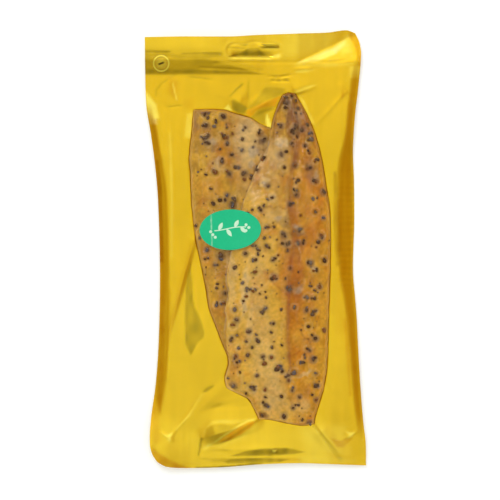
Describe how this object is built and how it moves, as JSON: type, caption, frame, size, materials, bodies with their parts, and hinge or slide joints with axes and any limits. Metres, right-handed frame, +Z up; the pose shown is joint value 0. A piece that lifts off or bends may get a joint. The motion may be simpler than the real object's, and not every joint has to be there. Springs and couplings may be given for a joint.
{
  "type": "vacuum pack of peppered smoked mackerel fillets",
  "caption": "Flat gold-backed vacuum pack with a clear front film over peppered smoked mackerel fillets laid head to tail, an oval sticker and a hang slot.",
  "frame": {"origin": "middle of the pack's bounding box, on the surface the pack lies on", "axes": "+Z up out of the shown face, +Y along the pack towards the header with the hang slot, +X to the right of the pack as it is read"},
  "size_m": [0.1338, 0.265, 0.018],
  "materials": {
    "gold_laminate": "glossy metallised gold laminate, softly creased",
    "smoked_fish": "oily golden-brown smoked flesh with cracked black pepper",
    "clear_film": "clear glossy film",
    "sticker_green": "satin printed sticker"
  },
  "bodies": {
    "root": {"back_film": "gold_laminate", "fillet_rear": "smoked_fish", "fillet_front": "smoked_fish", "front_film": "clear_film", "sticker": "sticker_green"}
  },
  "joints": []
}
